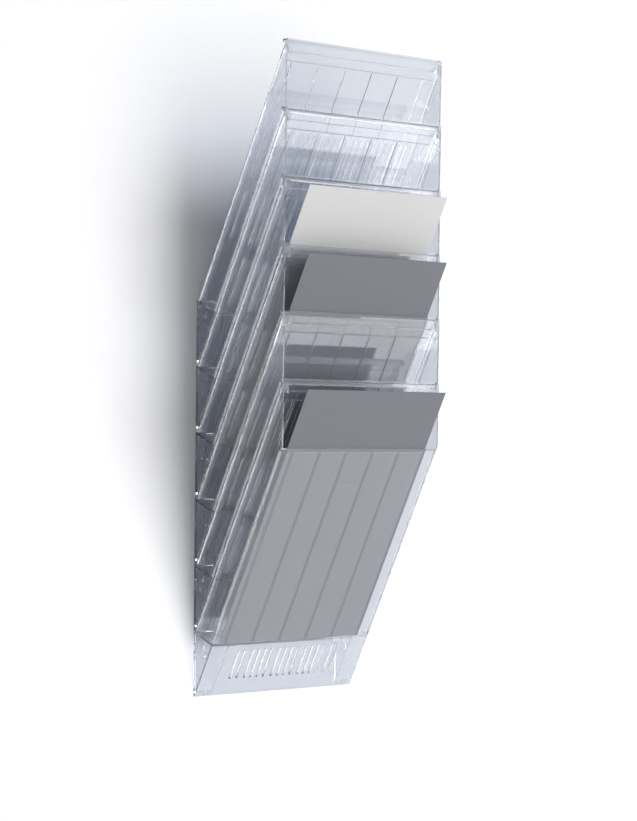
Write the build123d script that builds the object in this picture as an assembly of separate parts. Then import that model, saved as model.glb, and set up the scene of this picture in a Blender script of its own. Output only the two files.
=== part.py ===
# Wall magazine rack for A4 sheets: six tilted clear pockets hung one above the other.
# Frame: +X to the right, -Y out of the wall, +Z up. The wall is the plane y = 0.
# Origin: the centre of the four wall screws, on the wall plane.
# Each pocket is two mouldings, a tray and the slotted back panel that closes it.

from math import copysign, cos, radians, sin, sqrt, tan
import os

from build123d import *

# Driving dimensions, millimetres
pocket_count = 6
rack_width = 238.0            # outside, across a pocket
pocket_pitch = 70.0           # a pocket's height above the next one down
lean_angle = 26.0             # of the front and back panels, from the vertical
lip_height = 264.0            # a tray's bottom edge to its front lip
skin = 2.2                    # moulded wall
toe = 1.2                     # flat bottom edge of a tray, against the wall
nest_gap = 0.3                # a back panel to the tray behind it

# Ribs and slots, millimetres
stripe_pitch = 40.0           # low ribs that run up both panels
stripe_count = 6
stripe_width = 5.0            # at its root
stripe_rise = 0.7
stripe_slope = 0.4            # each side leans in by this much
slot_offsets = (-14.0, -4.67, 4.67, 14.0)    # in each bay between two stripes
outer_slot_offset = 4.83      # the last slot, past the outermost stripe
foot_slot_width = 3.0
foot_slot_ends = (18.0, 54.0)                # along the front panel, from its bottom edge
back_slot_width = 4.0
back_slot_groups = ((70.0, 127.0), (139.0, 197.0))   # above the back panel's lower end
slot_draft = 9.0              # degrees, slots narrow towards the wall
cross_rib_drops = (14.4, 24.4)               # half-round ribs, below the back panel's rim
cross_rib_radius = 0.8
blank_pad_size = (28.0, 13.0)                # plain recess in the front panel
blank_pad_drop = 27.0
blank_pad_depth = 0.3
corner_round = 2.0            # outer edges of the front panel
corner_fill = 2.2             # hollow fillet inside, between front panel and side walls
floor_fill = 1.5              # the same under the floor, along the front panel
back_edge_round = 0.8         # side edges of the back panel

# How a back panel grips the lip of the tray above it
rim_cover = 1.8               # thickness of the cover over that lip
rim_play = 0.2
rim_depth = 7.3
hook_drop = 3.5
hook_thickness = 1.2
bead_height = 4.0             # crowned bead along a tray's own lip
bead_rise = 1.0
side_flange_depth = 5.0       # back panel's flanges, inside the side walls
side_flange_thickness = 1.6
side_flange_play = 0.2
side_flange_stop = 22.0       # flange's upper end, below the rim
lug_size = 10.0               # corner blocks under the rim
lug_width = 6.0

# Foot of a tray, against the wall
wall_strip_width = 26.5       # a flange at each side, which the screws hold
gusset_thickness = 1.6
tab_inset = 9.0               # dovetail tabs, from the rack's side
tab_neck = 8.0
tab_head = 12.0
tab_height = 6.0
tab_thickness = 1.1
tab_play = 0.2

# Wall fixings
screw_trays = (0, 4)          # counted from the top
screw_inset = 13.0            # from the rack's side
screw_height = 54.0           # above its tray's bottom edge
screw_shank_radius = 1.9
screw_length = 37.0
screw_point = 4.0
screw_tip_radius = 0.3
screw_head_radius = 4.0
screw_head_height = 2.6
screw_recess_width = 0.9
screw_recess_length = 4.4
screw_recess_depth = 1.4
plug_radius = 3.0
plug_length = 30.0
plug_split_width = 0.8
plug_split_length = 20.0
keyhole_entry_radius = 4.6
keyhole_slot_radius = 2.2
keyhole_drop = 10.0
overcut = 6.0                 # how far a cutter runs past what it cuts
edge_slack = 0.1              # for finding an edge by its place

lean = radians(lean_angle)
half_width = rack_width / 2
inner_half_width = half_width - skin
panel_gap = pocket_pitch * sin(lean)          # square to the panels, tray to tray
back_outer = panel_gap - nest_gap             # back panel's wall side
back_inner = back_outer - skin                # back panel's pocket side
floor_along = pocket_pitch * cos(lean)        # top face of a pocket's floor
rim_top = pocket_pitch + lip_height + rim_play + rim_cover
stripe_places = [(n - (stripe_count - 1) / 2) * stripe_pitch for n in range(stripe_count)]
bay_centres = [(n - (stripe_count - 2) / 2) * stripe_pitch for n in range(stripe_count - 1)]
tray_bases = [(pocket_count - 1 - n) * pocket_pitch for n in range(pocket_count)]
origin_height = sum(tray_bases[n] for n in screw_trays) / len(screw_trays) + screw_height

# A panel's own frame: x across, y up the slant, z out of the pocket.
panel_frame = Plane(origin=(0, -toe, 0), x_dir=(1, 0, 0), z_dir=(0, -cos(lean), -sin(lean)))


# Distance from the wall and height of a point on the slant.
# along runs up the front panel's outer face, depth goes square into the pocket.
def slanted(along, depth):
    return toe + along * sin(lean) - depth * cos(lean), along * cos(lean) + depth * sin(lean)


# The same point found by its height.
def at_height(height, depth):
    return slanted((height - depth * sin(lean)) / cos(lean), depth)


# The same point found by its distance from the wall.
def at_reach(reach, depth):
    return slanted((reach - toe + depth * cos(lean)) / sin(lean), depth)


lip_reach = at_height(lip_height, 0)[0]
rim_reach = at_height(rim_top, back_outer)[0]
rim_along = (rim_top - back_inner * sin(lean)) / cos(lean)
foot_outline = [(0, 0), (toe, 0), slanted(floor_along, 0), (toe, pocket_pitch), (0, pocket_pitch)]
side_outline = [
    (0, 0),
    (toe, 0),
    (lip_reach, lip_height),
    at_reach(rim_reach, back_inner),
    slanted(floor_along, back_inner),
    (toe, pocket_pitch),
    (0, pocket_pitch),
]


# A solid with a side profile of (distance from the wall, height) points.
def profile_solid(outline, x_low, x_high):
    points = [(-reach, height) for reach, height in outline]
    face = make_face(Plane.YZ.offset(x_low) * Polyline(*points, close=True))
    return extrude(face, amount=x_high - x_low, dir=(1, 0, 0))


# The same across the middle of the rack, for a profile with one side crowned.
def crowned_solid(ends, crown, root, x_high):
    low, high, middle = [(-reach, height) for reach, height in (*ends, crown)]
    sides = Polyline(high, *[(-reach, height) for reach, height in root], low)
    face = make_face(Plane.YZ.offset(-x_high) * (sides + ThreePointArc(low, middle, high)))
    return extrude(face, amount=2 * x_high, dir=(1, 0, 0))


# A straight bar that runs up a panel.
def panel_bar(x, width, along_low, along_high, depth_low, depth_high):
    place = Pos(x, (along_low + along_high) / 2, -(depth_low + depth_high) / 2)
    return panel_frame * place * Box(width, along_high - along_low, depth_high - depth_low)


# A round-ended cutter for one slot, from just inside the pocket out through the panel.
# depth is the panel's pocket side, where the slot has its full width.
def panel_slot(x, width, along_low, along_high, depth):
    flare = 2 * overcut * tan(radians(slot_draft))
    outline = SlotOverall(along_high - along_low + flare, width + flare, rotation=90)
    face = panel_frame * Pos(x, (along_low + along_high) / 2, overcut - depth) * Rot(180, 0, 0) * outline
    return extrude(face, amount=2 * overcut, taper=slot_draft)


# A flat-topped ridge up a panel's face at this depth. A minus rise points it towards the front.
def panel_ridge(x, along_low, along_high, depth, rise):
    root, top = depth - copysign(skin / 2, rise), depth + rise
    right = [(stripe_width / 2, root), (stripe_width / 2, depth), (stripe_width / 2 - stripe_slope, top)]
    left = [(-across, level) for across, level in reversed(right)]
    outline = Pos(x, 0) * Polyline(*right, *left, close=True)
    return along_panel(make_face(outline), along_low, along_high)


# The hollow fillet in the corner between the front panel and a side wall.
def inner_corner(side, along_low, along_high):
    wall, root = side * inner_half_width, side * (inner_half_width + skin / 2)
    start, end = (wall - side * corner_fill, skin), (wall, skin + corner_fill)
    bulge = corner_fill * (1 - sqrt(0.5))
    outline = Polyline(end, (root, end[1]), (root, skin / 2), (start[0], skin / 2), start)
    hollow = ThreePointArc(start, (wall - side * bulge, skin + bulge), end)
    return along_panel(make_face(outline + hollow), along_low, along_high)


# Runs a section drawn in (x, depth) up the slant.
def along_panel(section, along_low, along_high):
    reach, height = slanted(along_low, 0)
    foot = Plane(origin=(0, -reach, height), x_dir=(1, 0, 0), z_dir=panel_frame.y_dir)
    return extrude(foot * section, amount=along_high - along_low, dir=panel_frame.y_dir)


# Slots stand in fours between the stripes. The outer bays may keep their inner half only.
def slot_places(inner_half_only):
    places = [centre + offset for centre in bay_centres for offset in slot_offsets]
    if inner_half_only:
        return [x for x in places if abs(x) < bay_centres[-1]]
    outermost = stripe_places[-1] + outer_slot_offset
    return [-outermost] + places + [outermost]


def dovetail(x, play, low, thickness):
    neck = tab_neck / 2 + play
    head = tab_head / 2 + play
    top = tab_height + play
    right = [(neck, low), (neck, 0), (head, top)]
    left = [(-across, height) for across, height in reversed(right)]
    face = make_face(Plane.XZ * Pos(x, 0) * Polyline(*right, *left, close=True))
    return extrude(face, amount=thickness, dir=(0, -1, 0))


def keyhole(x):
    entry = Pos(x, 0, screw_height - keyhole_drop) * Rot(90, 0, 0) * Cylinder(keyhole_entry_radius, overcut)
    slot_end = Pos(x, 0, screw_height) * Rot(90, 0, 0) * Cylinder(keyhole_slot_radius, overcut)
    slot = Pos(x, 0, screw_height - keyhole_drop / 2) * Box(2 * keyhole_slot_radius, overcut, keyhole_drop)
    return [entry, slot_end, slot]


# The long edges that run up the slant at this distance from the middle and this depth.
def slant_edges(shape, x, depth):
    found = []
    for edge in shape.edges():
        middle = edge.center()
        middle_depth = middle.Z * sin(lean) + (middle.Y + toe) * cos(lean)
        if edge.length > lip_height / 2 and abs(abs(middle.X) - x) < edge_slack:
            if abs(middle_depth - depth) < edge_slack:
                found.append(edge)
    return found


def make_tray():
    inner_foot = at_reach(0, skin)
    front = [(0, 0), (toe, 0), (lip_reach, lip_height), at_height(lip_height, skin), inner_foot]
    tray = profile_solid(front, -half_width, half_width)
    for side in (-1, 1):
        low, high = sorted((side * inner_half_width, side * half_width))
        tray += profile_solid(side_outline, low, high)
    tray = fillet(slant_edges(tray, half_width, 0), corner_round)

    floor_top = [slanted(floor_along, skin / 2), (toe, pocket_pitch), (0, pocket_pitch)]
    floor_under = [(0, pocket_pitch - skin / cos(lean)), slanted(floor_along - skin, skin / 2)]
    tray += profile_solid(floor_top + floor_under, -inner_half_width - skin / 2, inner_half_width + skin / 2)
    under = floor_along - skin
    bulge = floor_fill * (1 - sqrt(0.5))
    fill_ends = [slanted(under - floor_fill, skin), slanted(under, skin + floor_fill)]
    fill_root = [slanted(under + skin / 2, skin + floor_fill), slanted(under + skin / 2, skin / 2)]
    fill_root.append(slanted(under - floor_fill, skin / 2))
    fill_crown = slanted(under - bulge, skin + bulge)
    tray += crowned_solid(fill_ends, fill_crown, fill_root, inner_half_width + skin / 2)

    for side in (-1, 1):
        strip_inner = side * (half_width - wall_strip_width)
        low, high = sorted((strip_inner, side * (inner_half_width + skin / 2)))
        strip = [(0, 0), (skin, 0), (skin, pocket_pitch - skin), (0, pocket_pitch - skin)]
        strip_solid = profile_solid(strip, low, high) & profile_solid(foot_outline, low, high)
        low, high = sorted((strip_inner, strip_inner + side * gusset_thickness))
        tray += [strip_solid, profile_solid(foot_outline, low, high)]

    lip_along = (lip_height - skin * sin(lean)) / cos(lean)
    bead_ends = [slanted(lip_along - bead_height, skin), slanted(lip_along, skin)]
    bead_crown = slanted(lip_along - bead_height / 2, skin + bead_rise)
    bead_root = [slanted(lip_along, skin / 2), slanted(lip_along - bead_height, skin / 2)]
    tray += crowned_solid(bead_ends, bead_crown, bead_root, inner_half_width + skin / 2)
    stripe_top = (lip_height - (skin + stripe_rise) * sin(lean)) / cos(lean)
    stripe_foot = floor_along - skin / 2
    tray += [panel_ridge(x, stripe_foot, stripe_top, skin, stripe_rise) for x in stripe_places]
    tray += [inner_corner(side, stripe_foot, lip_along - bead_height / 2) for side in (-1, 1)]

    lug_front = rim_reach
    lug_top = at_reach(rim_reach, back_inner)[1]
    lug_box = [
        (lug_front - lug_size, lug_top - lug_size),
        (lug_front, lug_top - lug_size),
        (lug_front, lug_top),
        (lug_front - lug_size, lug_top),
    ]
    for side in (-1, 1):
        low, high = sorted((side * (inner_half_width - lug_width), side * (inner_half_width + skin / 2)))
        tray += profile_solid(lug_box, low, high) & profile_solid(side_outline, low, high)
        tray += Pos(0, 0, pocket_pitch) * dovetail(side * (half_width - tab_inset), 0, -skin, tab_thickness)

    cutters = [panel_slot(x, foot_slot_width, *foot_slot_ends, 0) for x in slot_places(True)]
    for side in (-1, 1):
        recess = dovetail(side * (half_width - tab_inset), tab_play, -skin, tab_thickness + tab_play)
        cutters += [recess] + keyhole(side * (half_width - screw_inset))
    pad_high = lip_height / cos(lean) - blank_pad_drop
    pad_low = pad_high - blank_pad_size[1]
    cutters.append(panel_bar(0, blank_pad_size[0], pad_low, pad_high, -skin, blank_pad_depth))
    return tray - cutters


def make_back_panel():
    panel = [
        slanted(floor_along, back_inner),
        at_reach(rim_reach, back_inner),
        (rim_reach, rim_top),
        slanted(floor_along, back_outer),
    ]
    cover_under = rim_top - rim_cover
    cover = [
        (rim_reach, rim_top),
        (rim_reach - rim_depth, rim_top),
        (rim_reach - rim_depth, rim_top - hook_drop),
        (rim_reach - rim_depth + hook_thickness, rim_top - hook_drop),
        (rim_reach - rim_depth + hook_thickness, cover_under),
        at_height(cover_under, back_inner + skin / 2),
    ]
    cover_half_width = inner_half_width - rim_play
    back = profile_solid(panel, -half_width, half_width)
    side_edges = slant_edges(back, half_width, back_inner) + slant_edges(back, half_width, back_outer)
    back = fillet(side_edges, back_edge_round)
    back += profile_solid(cover, -cover_half_width, cover_half_width)
    flange_outer = inner_half_width - side_flange_play
    flange_middle = flange_outer - side_flange_thickness / 2
    back += [
        panel_bar(
            side * flange_middle, side_flange_thickness, floor_along + skin, rim_along - side_flange_stop,
            back_inner - side_flange_depth, back_inner + skin / 2,
        )
        for side in (-1, 1)
    ]
    stripe_ends = (floor_along + skin, rim_along - cross_rib_drops[-1])
    back += [panel_ridge(x, *stripe_ends, back_inner, -stripe_rise) for x in stripe_places]
    cross_rib_length = 2 * (inner_half_width - lug_width - rim_play)
    back += [
        panel_frame * Pos(0, rim_along - drop, -back_inner) * Rot(0, 90, 0)
        * Cylinder(cross_rib_radius, cross_rib_length)
        for drop in cross_rib_drops
    ]
    cutters = [
        panel_slot(x, back_slot_width, floor_along + low, floor_along + high, back_inner)
        for low, high in back_slot_groups for x in slot_places(False)
    ]
    return back - cutters


def along_wall_axis(shape, out):
    return Pos(0, -out, 0) * Rot(90, 0, 0) * shape


def make_screw():
    seat = skin + rim_play
    below = (Align.CENTER, Align.CENTER, Align.MAX)
    above = (Align.CENTER, Align.CENTER, Align.MIN)
    shank = Cylinder(screw_shank_radius, screw_length - screw_point, align=below)
    point = Cone(screw_tip_radius, screw_shank_radius, screw_point, align=below)
    head = Cylinder(screw_head_radius, screw_head_height, align=above)
    head = fillet(head.edges().sort_by(Axis.Z)[-1], screw_head_height / 2)
    recess_place = Pos(0, 0, screw_head_height)
    for angle in (0, 90):
        recess = Box(screw_recess_length, screw_recess_width, 2 * screw_recess_depth)
        head -= recess_place * Rot(0, 0, angle) * recess
    screw = head + shank + Pos(0, 0, screw_point - screw_length) * point
    return along_wall_axis(screw, seat)


def make_plug():
    plug = Cylinder(plug_radius, plug_length, align=(Align.CENTER, Align.CENTER, Align.MAX))
    plug = chamfer(plug.edges().sort_by(Axis.Z)[0], plug_radius / 3)
    plug -= Cylinder(screw_shank_radius, 2 * plug_length + overcut)
    split_side = (Align.CENTER, Align.MIN, Align.MIN)
    split = Box(plug_split_width, 2 * plug_radius, plug_split_length, align=split_side)
    plug -= Pos(0, 0, -plug_length) * split
    return along_wall_axis(plug, 0)


def fixing_places():
    return [
        Pos(side * (half_width - screw_inset), 0, tray_bases[n] + screw_height - origin_height)
        for n in screw_trays for side in (-1, 1)
    ]


os.makedirs("parts", exist_ok=True)
tray = make_tray()
back_panel = make_back_panel()
for n, base in enumerate(tray_bases, start=1):
    place = Pos(0, 0, base - origin_height)
    export_step(place * tray, f"parts/tray_{n}.step")
    export_step(place * back_panel, f"parts/back_panel_{n}.step")
screw = make_screw()
plug = make_plug()
export_step(Compound(children=[place * screw for place in fixing_places()]), "parts/wall_screws.step")
export_step(Compound(children=[place * plug for place in fixing_places()]), "parts/wall_plugs.step")
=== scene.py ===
import bpy
from math import radians, sin, cos
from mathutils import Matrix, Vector


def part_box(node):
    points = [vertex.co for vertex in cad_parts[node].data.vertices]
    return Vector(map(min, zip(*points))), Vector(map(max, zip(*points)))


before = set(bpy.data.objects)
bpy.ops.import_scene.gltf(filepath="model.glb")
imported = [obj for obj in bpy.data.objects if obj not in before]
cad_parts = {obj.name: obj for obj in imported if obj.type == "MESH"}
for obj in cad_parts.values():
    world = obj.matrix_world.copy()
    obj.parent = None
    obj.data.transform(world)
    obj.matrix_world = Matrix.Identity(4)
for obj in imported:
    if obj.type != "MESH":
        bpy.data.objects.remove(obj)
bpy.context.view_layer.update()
bpy.ops.object.select_all(action="DESELECT")
print("frame loaded,", len(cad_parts), "nodes")


# materials

def newMaterial(name):
    material = bpy.data.materials.new(name)
    material.use_nodes = True
    material.node_tree.nodes.clear()
    return material, material.node_tree.nodes, material.node_tree.links


def noiseAt(nodes, links, coordinates, scale, detail, stretch=(1, 1, 1)):
    mapping = nodes.new("ShaderNodeMapping")
    mapping.inputs["Scale"].default_value = stretch
    noise = nodes.new("ShaderNodeTexNoise")
    noise.inputs["Scale"].default_value = scale
    noise.inputs["Detail"].default_value = detail
    links.new(coordinates, mapping.inputs["Vector"])
    links.new(mapping.outputs["Vector"], noise.inputs["Vector"])
    return noise.outputs["Fac"]


# moves a value from one range to another
def spread(nodes, links, value, low, high, fromLow=0.3, fromHigh=0.7):
    ranged = nodes.new("ShaderNodeMapRange")
    ranged.inputs["From Min"].default_value = fromLow
    ranged.inputs["From Max"].default_value = fromHigh
    ranged.inputs["To Min"].default_value = low
    ranged.inputs["To Max"].default_value = high
    links.new(value, ranged.inputs["Value"])
    return ranged.outputs["Result"]


clearPlastic = dict(
    ior=1.57,                         # moulded polystyrene
    tint=(0.972, 0.979, 0.993),       # what a whole wall passes
    clear=0.985,                      # the rest is haze on the faces
    lampTint=(0.935, 0.943, 0.957),   # what one face lets through from the lamps
    smooth=0.0, hazy=0.002,           # roughness, clean and where hands have been
    smudgeScale=9, smudgeDetail=4, smudgeFrom=0.5, smudgeFull=0.75,
    flowScale=14, flowDetail=1, flowStretch=(1, 1, 0.3), flowStrength=0.2, flowDepth=0.00001,
)


# it bends what is seen through it, but lamps and soft light pass as through a plain tinted pane
def makeClearPlastic(name, look):
    material, nodes, links = newMaterial(name)
    place = nodes.new("ShaderNodeTexCoord").outputs["Object"]
    smudge = noiseAt(nodes, links, place, look["smudgeScale"], look["smudgeDetail"])
    flow = noiseAt(nodes, links, place, look["flowScale"], look["flowDetail"], look["flowStretch"])
    bump = nodes.new("ShaderNodeBump")
    bump.inputs["Strength"].default_value = look["flowStrength"]
    bump.inputs["Distance"].default_value = look["flowDepth"]
    links.new(flow, bump.inputs["Height"])
    plastic = nodes.new("ShaderNodeBsdfPrincipled")
    plastic.inputs["Base Color"].default_value = (*look["tint"], 1)
    plastic.inputs["Transmission Weight"].default_value = look["clear"]
    plastic.inputs["IOR"].default_value = look["ior"]
    roughness = spread(nodes, links, smudge, look["smooth"], look["hazy"],
                       look["smudgeFrom"], look["smudgeFull"])
    links.new(roughness, plastic.inputs["Roughness"])
    links.new(bump.outputs["Normal"], plastic.inputs["Normal"])
    openSide = nodes.new("ShaderNodeBsdfTransparent")
    openSide.inputs["Color"].default_value = (*look["lampTint"], 1)
    path = nodes.new("ShaderNodeLightPath")
    either = nodes.new("ShaderNodeMath")
    either.operation = "MAXIMUM"
    links.new(path.outputs["Is Shadow Ray"], either.inputs[0])
    links.new(path.outputs["Is Diffuse Ray"], either.inputs[1])
    mix = nodes.new("ShaderNodeMixShader")
    links.new(either.outputs[0], mix.inputs["Fac"])
    links.new(plastic.outputs[0], mix.inputs[1])
    links.new(openSide.outputs[0], mix.inputs[2])
    output = nodes.new("ShaderNodeOutputMaterial")
    links.new(mix.outputs[0], output.inputs["Surface"])
    return material


def makeSolid(name, look):
    material, nodes, links = newMaterial(name)
    place = nodes.new("ShaderNodeTexCoord").outputs["Object"]
    grain = noiseAt(nodes, links, place, look["grainScale"], look["grainDetail"])
    shader = nodes.new("ShaderNodeBsdfPrincipled")
    ramp = nodes.new("ShaderNodeMix")
    ramp.data_type = "RGBA"
    ramp.inputs["A"].default_value = (*look["dark"], 1)
    ramp.inputs["B"].default_value = (*look["light"], 1)
    links.new(spread(nodes, links, grain, 0, 1), ramp.inputs["Factor"])
    links.new(ramp.outputs["Result"], shader.inputs["Base Color"])
    links.new(spread(nodes, links, grain, *look["roughness"]), shader.inputs["Roughness"])
    shader.inputs["Metallic"].default_value = look.get("metallic", 0)
    bump = nodes.new("ShaderNodeBump")
    bump.inputs["Strength"].default_value = look["bumpStrength"]
    bump.inputs["Distance"].default_value = look["bumpDepth"]
    links.new(grain, bump.inputs["Height"])
    links.new(bump.outputs["Normal"], shader.inputs["Normal"])
    output = nodes.new("ShaderNodeOutputMaterial")
    links.new(shader.outputs[0], output.inputs["Surface"])
    return material


screwSteel = dict(dark=(0.42, 0.42, 0.43), light=(0.62, 0.62, 0.63), roughness=(0.22, 0.4), metallic=1.0,
                  grainScale=900, grainDetail=6, bumpStrength=0.3, bumpDepth=0.0001)
plugNylon = dict(dark=(0.36, 0.37, 0.39), light=(0.44, 0.45, 0.47), roughness=(0.5, 0.62),
                 grainScale=500, grainDetail=6, bumpStrength=0.3, bumpDepth=0.0002)


def dress(node, material):
    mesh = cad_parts[node].data
    if not mesh.materials:
        mesh.materials.append(material)
    for index in range(len(mesh.materials)):
        mesh.materials[index] = material


backPlastic = dict(clearPlastic, smudgeScale=12)    # smaller smudges, behind the magazines

trayClear = makeClearPlastic("trayClear", clearPlastic)
backClear = makeClearPlastic("backClear", backPlastic)
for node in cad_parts:
    if node.startswith("tray"):
        dress(node, trayClear)
    if node.startswith("back_panel"):
        dress(node, backClear)
dress("wall_screws", makeSolid("screwSteel", screwSteel))
dress("wall_plugs", makeSolid("plugNylon", plugNylon))
print("materials on")


# three sheets standing in the pockets, not part of the rack

# toe is the panel's reach at its foot, floorAlong how far up the panel the pocket's floor is
pocket = dict(lean=radians(26), toe=0.0012, skin=0.0022, floorAlong=0.0629)
# gap is from the front panel to the sheet, left is the sheet's left edge
sheet = dict(width=0.210, height=0.297, thickness=0.0006, gap=0.0009, left=-0.108, columns=12, rows=16)
creamPaper = dict(dark=(0.505, 0.505, 0.498), light=(0.535, 0.535, 0.528), roughness=(0.6, 0.7),
                  grainScale=700, grainDetail=6, bumpStrength=0.2, bumpDepth=0.0001)
greyPaper = dict(dark=(0.137, 0.138, 0.157), light=(0.147, 0.148, 0.167), roughness=(0.55, 0.65),
                 grainScale=700, grainDetail=6, bumpStrength=0.2, bumpDepth=0.0001)
papers = {"tray_3": makeSolid("creamPaper", creamPaper), "tray_4": makeSolid("greyPaper", greyPaper)}
papers["tray_6"] = papers["tray_4"]


def makeSheet(node, material):
    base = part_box(node)[0].z
    along, across = pocket["floorAlong"] + sheet["height"] / 2, pocket["skin"] + sheet["gap"]
    reach = pocket["toe"] + along * sin(pocket["lean"]) - across * cos(pocket["lean"])
    height = base + along * cos(pocket["lean"]) + across * sin(pocket["lean"])
    bpy.ops.mesh.primitive_grid_add(x_subdivisions=sheet["columns"], y_subdivisions=sheet["rows"], size=1,
                                    location=(sheet["left"] + sheet["width"] / 2, -reach, height),
                                    rotation=(radians(90) + pocket["lean"], 0, 0))
    paper = bpy.context.object
    paper.name = "sheet." + node
    paper.scale = (sheet["width"], sheet["height"], 1)
    bpy.ops.object.transform_apply(location=True, rotation=True, scale=True)
    body = paper.modifiers.new("thickness", "SOLIDIFY")
    body.thickness = sheet["thickness"]
    body.offset = 1
    bpy.ops.object.modifier_apply(modifier=body.name)
    paper.data.materials.append(material)
    paper.select_set(False)


for node, material in papers.items():
    makeSheet(node, material)


# wall, floor, light

room = dict(floor=-2.2, width=14, depth=14, wallHeight=5, wallGap=0.0005)
# colour is what the camera sees bare, throughPlastic what every other ray meets: on the wall a darker,
# bluer painted shade, on the floor a lighter paint under a stronger painted glow
wallPaint = dict(colour=(0.88, 0.88, 0.885), throughPlastic=(0.54, 0.56, 0.61))
# painted light: the floor glows, and the plastic panels mirror that glow as a sheen
floorPaint = dict(colour=(0.2, 0.2, 0.204), glow=0.42,
                  throughPlastic=(0.88, 0.88, 0.885), throughGlow=0.45)
paintGrain = dict(scale=60, detail=3, strength=0.1, depth=0.0005)


def makePaint(nodes, links, colour):
    place = nodes.new("ShaderNodeTexCoord").outputs["Object"]
    grain = noiseAt(nodes, links, place, paintGrain["scale"], paintGrain["detail"])
    bump = nodes.new("ShaderNodeBump")
    bump.inputs["Strength"].default_value = paintGrain["strength"]
    bump.inputs["Distance"].default_value = paintGrain["depth"]
    links.new(grain, bump.inputs["Height"])
    paint = nodes.new("ShaderNodeBsdfDiffuse")
    paint.inputs["Color"].default_value = (*colour, 1)
    links.new(bump.outputs["Normal"], paint.inputs["Normal"])
    return paint


# two shaders into one, mixed by the factor where there is one
def joined(nodes, links, kind, first, second, factor=None):
    both = nodes.new(kind)
    slots = both.inputs[-2:]
    links.new(first.outputs[0], slots[0])
    links.new(second.outputs[0], slots[1])
    if factor:
        links.new(factor, both.inputs["Fac"])
    return both


def makeWallPaint(look):
    material, nodes, links = newMaterial("wallPaint")
    path = nodes.new("ShaderNodeLightPath")
    # painted shade: every ray but the camera's meets this darker, bluer copy of the wall paint
    shaded = makePaint(nodes, links, look["throughPlastic"])
    lit = makePaint(nodes, links, look["colour"])
    paint = joined(nodes, links, "ShaderNodeMixShader", shaded, lit, path.outputs["Is Camera Ray"])
    behind = nodes.new("ShaderNodeNewGeometry").outputs["Backfacing"]    # clear from the back
    seeThrough = nodes.new("ShaderNodeBsdfTransparent")
    paint = joined(nodes, links, "ShaderNodeMixShader", paint, seeThrough, behind)
    links.new(paint.outputs[0], nodes.new("ShaderNodeOutputMaterial").inputs["Surface"])
    return material


def makeFloorPaint(look):
    material, nodes, links = newMaterial("floorPaint")
    path = nodes.new("ShaderNodeLightPath")
    sides = []
    # painted light: every ray but the camera's meets a lighter paint and a stronger glow
    for colour, strength in ((look["throughPlastic"], look["throughGlow"]), (look["colour"], look["glow"])):
        glow = nodes.new("ShaderNodeEmission")
        glow.inputs["Strength"].default_value = strength
        sides.append(joined(nodes, links, "ShaderNodeAddShader", makePaint(nodes, links, colour), glow))
    paint = joined(nodes, links, "ShaderNodeMixShader", *sides, path.outputs["Is Camera Ray"])
    links.new(paint.outputs[0], nodes.new("ShaderNodeOutputMaterial").inputs["Surface"])
    return material


def makePlane(name, sizeX, sizeY, location, rotation, material):
    bpy.ops.mesh.primitive_plane_add(size=1, location=location, rotation=rotation)
    plane = bpy.context.object
    plane.name = name
    plane.scale = (sizeX, sizeY, 1)
    bpy.ops.object.transform_apply(location=True, rotation=True, scale=True)
    plane.data.materials.append(material)
    plane.select_set(False)


wallMiddle = (0, room["wallGap"], room["floor"] + room["wallHeight"] / 2)
floorMiddle = (0, 0, room["floor"])
upright = (radians(90), 0, 0)
flat = (0, 0, 0)
makePlane("wall", room["width"], room["wallHeight"], wallMiddle, upright, makeWallPaint(wallPaint))
makePlane("floor", room["width"], room["depth"], floorMiddle, flat, makeFloorPaint(floorPaint))

# the key lights faces only, the edge light shows only in the plastic and draws its bright edges
keyLight = dict(place=(3.4, -6.7, -0.9), size=5.4, watts=690, aim=(0, -0.06, 0.05), seen=("diffuse",))
edgeLight = dict(place=(-1.1, -1.0, -0.85), size=0.8, watts=11, aim=(0, -0.06, 0.05),
                 seen=("glossy", "transmission"))


def makeSoftbox(name, look):
    bpy.ops.object.light_add(type="AREA", location=look["place"])
    lamp = bpy.context.object
    lamp.name = name
    lamp.data.shape = "SQUARE"
    lamp.data.size = look["size"]
    lamp.data.energy = look["watts"]
    towards = Vector(look["aim"]) - Vector(look["place"])
    lamp.rotation_euler = towards.to_track_quat("-Z", "Y").to_euler()
    lamp.visible_diffuse = "diffuse" in look["seen"]
    lamp.visible_glossy = "glossy" in look["seen"]
    lamp.visible_transmission = "transmission" in look["seen"]
    lamp.select_set(False)


makeSoftbox("keyLight", keyLight)
makeSoftbox("edgeLight", edgeLight)

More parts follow.
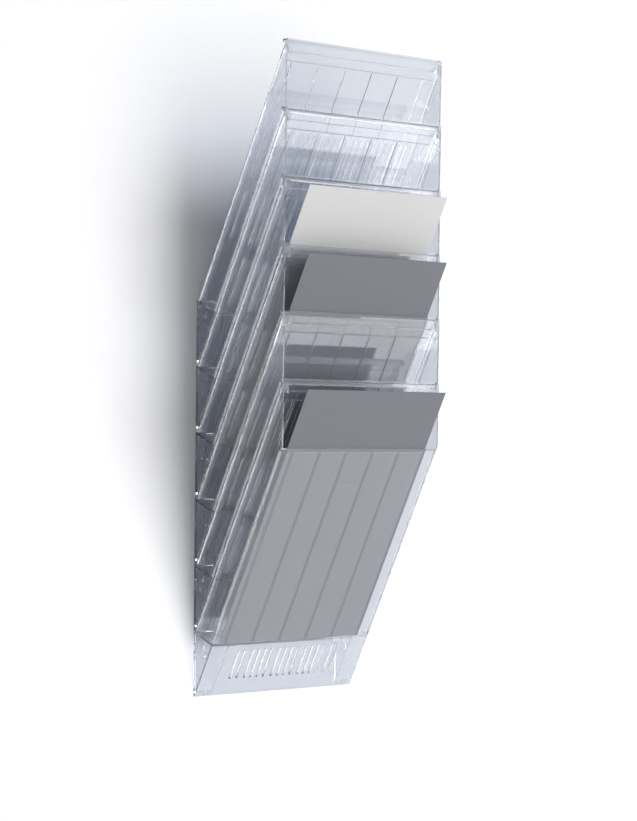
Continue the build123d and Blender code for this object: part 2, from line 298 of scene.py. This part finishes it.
# bright and dark are what the plastic mirrors, fill lights the faces, backdrop is seen bare
studio = dict(bright=1.35, dark=0.3, brightSide=(0.8, -0.55, -0.2), darkUpTo=-0.1, brightFrom=0.7,
              fill=0.2, backdrop=0.95, colour=(0.965, 0.965, 1.0))


def makeStudio(look):
    world = bpy.data.worlds.new("studio")
    world.use_nodes = True
    bpy.context.scene.world = world
    nodes, links = world.node_tree.nodes, world.node_tree.links
    nodes.clear()
    direction = nodes.new("ShaderNodeTexCoord").outputs["Generated"]
    facing = nodes.new("ShaderNodeVectorMath")
    facing.operation = "DOT_PRODUCT"
    facing.inputs[1].default_value = Vector(look["brightSide"]).normalized()
    links.new(direction, facing.inputs[0])
    shade = spread(nodes, links, facing.outputs["Value"], look["dark"], look["bright"],
                   look["darkUpTo"], look["brightFrom"])
    path = nodes.new("ShaderNodeLightPath")
    seen = shade
    for kind, level in (("Is Diffuse Ray", look["fill"]), ("Is Camera Ray", look["backdrop"])):
        pick = nodes.new("ShaderNodeMix")
        pick.inputs["B"].default_value = level
        links.new(path.outputs[kind], pick.inputs["Factor"])
        links.new(seen, pick.inputs["A"])
        seen = pick.outputs["Result"]
    background = nodes.new("ShaderNodeBackground")
    background.inputs["Color"].default_value = (*look["colour"], 1)
    output = nodes.new("ShaderNodeOutputWorld")
    links.new(seen, background.inputs["Strength"])
    links.new(background.outputs[0], output.inputs["Surface"])


makeStudio(studio)


# camera

camera = dict(place=(-2.1628, -2.1991, 0.0144), turn=45.39, up=0.49, roll=0.52, lens=124.2)
aimed = (radians(90 + camera["up"]), radians(-camera["roll"]), radians(-camera["turn"]))
bpy.ops.object.camera_add(location=camera["place"], rotation=aimed)
bpy.context.object.data.lens = camera["lens"]
bpy.context.scene.camera = bpy.context.object

scene = bpy.context.scene
scene.view_settings.view_transform = "Standard"
scene.cycles.max_bounces = 48
scene.cycles.transmission_bounces = 48
scene.cycles.glossy_bounces = 16
scene.cycles.diffuse_bounces = 3
scene.cycles.transparent_max_bounces = 64
scene.cycles.caustics_reflective = False
scene.cycles.caustics_refractive = False
print("stage and camera set")
